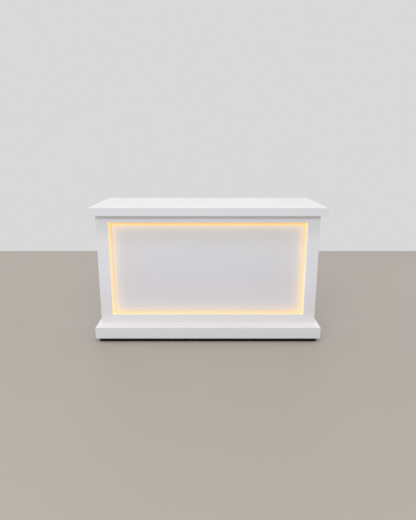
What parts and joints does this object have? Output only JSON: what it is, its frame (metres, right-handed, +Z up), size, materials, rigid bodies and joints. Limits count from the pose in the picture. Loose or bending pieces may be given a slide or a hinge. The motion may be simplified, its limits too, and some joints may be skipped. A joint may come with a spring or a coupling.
{
  "type": "bar counter with shelves",
  "caption": "Wheeled bar counter with an overhanging top, a framed front recess lit along its edges, a plinth base and open shelves on the service side.",
  "frame": {"origin": "on the floor, under the middle of the footprint that the top and the plinth share", "axes": "+X to the customer's right along the counter, +Y from the customer's side to the service side, +Z up"},
  "size_m": [1.83, 0.76, 1.095],
  "materials": {
    "white_laminate": "satin white melamine-faced board",
    "white_edging": "satin white 2 mm edging",
    "core_board": "raw sawn board",
    "white_lacquer": "satin white lacquer on fibreboard",
    "display_laminate": "smooth satin white laminate",
    "shelf_laminate": "fine-textured white melamine-faced board",
    "beech": "plain beech",
    "aluminium": "satin anodised",
    "opal_cover": "frosted opal, lit warm white",
    "light_tape": "white tape with small yellow light chips",
    "zinc_plate": "zinc-plated pressed steel",
    "bright_steel": "bright zinc",
    "castor_tyre": "grey wheel with a darker tread",
    "brake_plastic": "dark moulded nylon",
    "white_steel": "white powder coat",
    "driver_case": "plain extruded case",
    "black_plastic": "black moulded plastic",
    "rocker_plastic": "glossy black",
    "nickel": "nickel-plated",
    "white_plastic": "white moulded plastic",
    "cable_jacket": "white flexible jacket"
  },
  "bodies": {
    "counter": {"assembly_screws": "bright_steel", "cabinet_floor": "shelf_laminate", "cabinet_top_board": "shelf_laminate", "cable_clips": "white_plastic", "cable_gland": "black_plastic", "cable_grommet": "white_plastic", "castor_plates": "zinc_plate", "centre_partition": "shelf_laminate", "countertop_core": "core_board", "countertop_edge_bands": "white_edging", "countertop_panel": "white_laminate", "countertop_underside_panel": "white_laminate", "display_panel": "display_laminate", "front_bottom_rail": "white_lacquer", "front_left_stile": "white_lacquer", "front_right_stile": "white_lacquer", "front_top_rail": "white_lacquer", "led_cable": "cable_jacket", "led_channels": "aluminium", "led_diffusers": "opal_cover", "led_driver": "driver_case", "led_tapes": "light_tape", "left_end_panel": "white_lacquer", "pan_head_screws": "bright_steel", "plinth_deck": "white_laminate", "plinth_edge_bands": "white_edging", "plinth_front_skirt": "white_laminate", "plinth_left_skirt": "white_laminate", "plinth_right_skirt": "white_laminate", "plinth_stretcher": "white_laminate", "power_box": "white_steel", "power_entry_blades": "nickel", "power_entry_module": "black_plastic", "recess_bottom_return": "white_lacquer", "recess_left_return": "white_lacquer", "recess_right_return": "white_lacquer", "recess_top_return": "white_lacquer", "right_end_panel": "white_lacquer", "service_back_panel": "shelf_laminate", "shelf_left_lower": "shelf_laminate", "shelf_left_upper": "shelf_laminate", "shelf_pins": "bright_steel", "shelf_right_lower": "shelf_laminate", "shelf_right_upper": "shelf_laminate", "wooden_dowels": "beech"},
    "castor_front_left": {"castor_fork_front_left": "zinc_plate", "castor_axle_front_left": "bright_steel"},
    "wheel_front_left": {"castor_wheel_front_left": "castor_tyre"},
    "castor_front_right": {"castor_fork_front_right": "zinc_plate", "castor_axle_front_right": "bright_steel"},
    "wheel_front_right": {"castor_wheel_front_right": "castor_tyre"},
    "castor_rear_left": {"castor_fork_rear_left": "zinc_plate", "castor_axle_rear_left": "bright_steel"},
    "wheel_rear_left": {"castor_wheel_rear_left": "castor_tyre"},
    "brake_rear_left": {"brake_pedal_rear_left": "brake_plastic"},
    "castor_rear_right": {"castor_fork_rear_right": "zinc_plate", "castor_axle_rear_right": "bright_steel"},
    "wheel_rear_right": {"castor_wheel_rear_right": "castor_tyre"},
    "brake_rear_right": {"brake_pedal_rear_right": "brake_plastic"},
    "rocker": {"power_rocker": "rocker_plastic"}
  },
  "joints": [
    {"name": "castor_swivel_front_left", "type": "hinge", "parent": "counter", "child": "castor_front_left", "pos_m": [-0.79, -0.255, 0.092], "axis": [0, 0, 1], "continuous": true},
    {"name": "wheel_roll_front_left", "type": "hinge", "parent": "castor_front_left", "child": "wheel_front_left", "pos_m": [-0.79, -0.225, 0.0375], "axis": [1, 0, 0], "continuous": true},
    {"name": "castor_swivel_front_right", "type": "hinge", "parent": "counter", "child": "castor_front_right", "pos_m": [0.79, -0.255, 0.092], "axis": [0, 0, 1], "continuous": true},
    {"name": "wheel_roll_front_right", "type": "hinge", "parent": "castor_front_right", "child": "wheel_front_right", "pos_m": [0.79, -0.225, 0.0375], "axis": [1, 0, 0], "continuous": true},
    {"name": "castor_swivel_rear_left", "type": "hinge", "parent": "counter", "child": "castor_rear_left", "pos_m": [-0.79, 0.255, 0.092], "axis": [0, 0, 1], "continuous": true},
    {"name": "wheel_roll_rear_left", "type": "hinge", "parent": "castor_rear_left", "child": "wheel_rear_left", "pos_m": [-0.79, 0.285, 0.0375], "axis": [1, 0, 0], "continuous": true},
    {"name": "brake_press_rear_left", "type": "hinge", "parent": "castor_rear_left", "child": "brake_rear_left", "pos_m": [-0.79, 0.30091, 0.07887], "axis": [1, 0, 0], "range_deg": [-7.3, 0]},
    {"name": "castor_swivel_rear_right", "type": "hinge", "parent": "counter", "child": "castor_rear_right", "pos_m": [0.79, 0.255, 0.092], "axis": [0, 0, 1], "continuous": true},
    {"name": "wheel_roll_rear_right", "type": "hinge", "parent": "castor_rear_right", "child": "wheel_rear_right", "pos_m": [0.79, 0.285, 0.0375], "axis": [1, 0, 0], "continuous": true},
    {"name": "brake_press_rear_right", "type": "hinge", "parent": "castor_rear_right", "child": "brake_rear_right", "pos_m": [0.79, 0.30091, 0.07887], "axis": [1, 0, 0], "range_deg": [-7.3, 0]},
    {"name": "power_switch", "type": "hinge", "parent": "counter", "child": "rocker", "pos_m": [0.7584, 0.2905, 0.989], "axis": [1, 0, 0], "range_deg": [-16, 0]}
  ]
}
